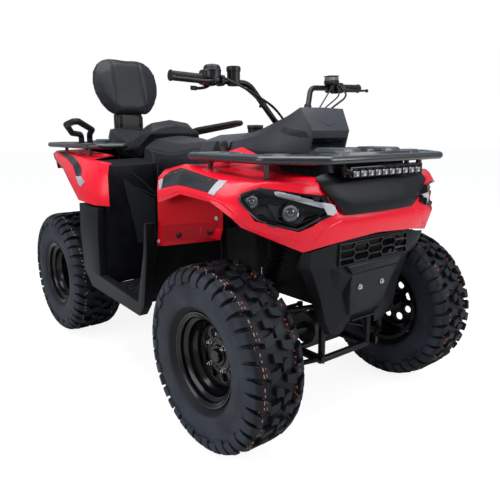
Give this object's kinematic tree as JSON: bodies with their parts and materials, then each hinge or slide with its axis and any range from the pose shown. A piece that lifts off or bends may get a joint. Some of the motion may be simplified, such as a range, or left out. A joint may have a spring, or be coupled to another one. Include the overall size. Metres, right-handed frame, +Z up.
{
  "type": "quad bike",
  "caption": "Two-seat utility quad bike with steered front wheels, lugged tyres, front and rear load racks, foot wells and a passenger backrest.",
  "frame": {"origin": "centre of the footprint on the ground, below the middle of the bounding box", "axes": "+X forward along the vehicle, +Y to the rider's left, +Z up"},
  "size_m": [2.1354, 1.178, 1.476],
  "materials": {
    "frame": "satin black powder coat",
    "metal": "dull steel",
    "cast": "cast grey",
    "plastic": "grained black",
    "red": "glossy red",
    "lamp": "gloss black bezel",
    "taillamp": "smoked red",
    "rack": "textured black composite",
    "vinyl": "black seat vinyl",
    "rubber": "black rubber",
    "tyre": "black tyre rubber",
    "rim": "gloss black steel"
  },
  "bodies": {
    "chassis": {"frame": "frame", "frame_cross_members": "frame", "skid_plate": "metal", "engine": "cast", "final_drives": "cast", "suspension_arms": "frame", "hub_carriers": "cast", "shock_absorbers": "metal", "half_shafts": "metal", "exhaust": "metal", "splash_panels": "plastic", "radiator": "metal", "front_cover": "plastic", "grille": "plastic", "front_body": "red", "nose_panel": "plastic", "headlamps": "lamp", "front_rack": "rack", "light_bar": "lamp", "pod": "plastic", "tank_cover": "plastic", "footwells": "plastic", "footboards": "plastic", "side_panels": "plastic", "rider_seat": "vinyl", "passenger_seat": "vinyl", "backrest_pad": "vinyl", "backrest_bracket": "frame", "grab_handles": "rubber", "rear_body": "red", "rear_rack": "rack", "tail_lamps": "taillamp", "gear_lever": "plastic"},
    "steering": {"steering_column": "frame", "handlebar": "frame", "grips": "rubber", "controls": "plastic", "cables": "rubber"},
    "knuckle_body_right": {"knuckle_right": "cast"},
    "tie_rod_body_right": {"tie_rod_right": "metal"},
    "wheel_front_right": {"tyre_front_right": "tyre", "rim_front_right": "rim"},
    "wheel_rear_right": {"tyre_rear_right": "tyre", "rim_rear_right": "rim"},
    "knuckle_body_left": {"knuckle_left": "cast"},
    "tie_rod_body_left": {"tie_rod_left": "metal"},
    "wheel_front_left": {"tyre_front_left": "tyre", "rim_front_left": "rim"},
    "wheel_rear_left": {"tyre_rear_left": "tyre", "rim_rear_left": "rim"}
  },
  "joints": [
    {"name": "steer", "type": "hinge", "parent": "chassis", "child": "steering", "pos_m": [0.732, 0, 0.436], "axis": [-0.2355, 0, 0.9719], "range_deg": [-30, 30]},
    {"name": "kingpin_right", "type": "hinge", "parent": "chassis", "child": "knuckle_body_right", "pos_m": [0.75, -0.385, 0.32], "axis": [0, 0, 1], "range_deg": [-30, 30]},
    {"name": "tie_rod_pin_right", "type": "hinge", "parent": "knuckle_body_right", "child": "tie_rod_body_right", "pos_m": [0.672, -0.385, 0.388], "axis": [0, 0, 1], "range_deg": [-30, 30]},
    {"name": "wheel_front_spin_right", "type": "hinge", "parent": "knuckle_body_right", "child": "wheel_front_right", "pos_m": [0.75, -0.48, 0.32], "axis": [0, 1, 0], "continuous": true},
    {"name": "wheel_rear_spin_right", "type": "hinge", "parent": "chassis", "child": "wheel_rear_right", "pos_m": [-0.69, -0.417, 0.32], "axis": [0, 1, 0], "continuous": true},
    {"name": "kingpin_left", "type": "hinge", "parent": "chassis", "child": "knuckle_body_left", "pos_m": [0.75, 0.385, 0.32], "axis": [0, 0, 1], "range_deg": [-30, 30]},
    {"name": "tie_rod_pin_left", "type": "hinge", "parent": "knuckle_body_left", "child": "tie_rod_body_left", "pos_m": [0.672, 0.385, 0.388], "axis": [0, 0, 1], "range_deg": [-30, 30]},
    {"name": "wheel_front_spin_left", "type": "hinge", "parent": "knuckle_body_left", "child": "wheel_front_left", "pos_m": [0.75, 0.48, 0.32], "axis": [0, 1, 0], "continuous": true},
    {"name": "wheel_rear_spin_left", "type": "hinge", "parent": "chassis", "child": "wheel_rear_left", "pos_m": [-0.69, 0.417, 0.32], "axis": [0, 1, 0], "continuous": true}
  ],
  "couplings": [
    {"joint": "kingpin_right", "follows": "steer", "ratio": 1},
    {"joint": "tie_rod_pin_right", "follows": "steer", "ratio": -1},
    {"joint": "kingpin_left", "follows": "steer", "ratio": 1},
    {"joint": "tie_rod_pin_left", "follows": "steer", "ratio": -1}
  ]
}
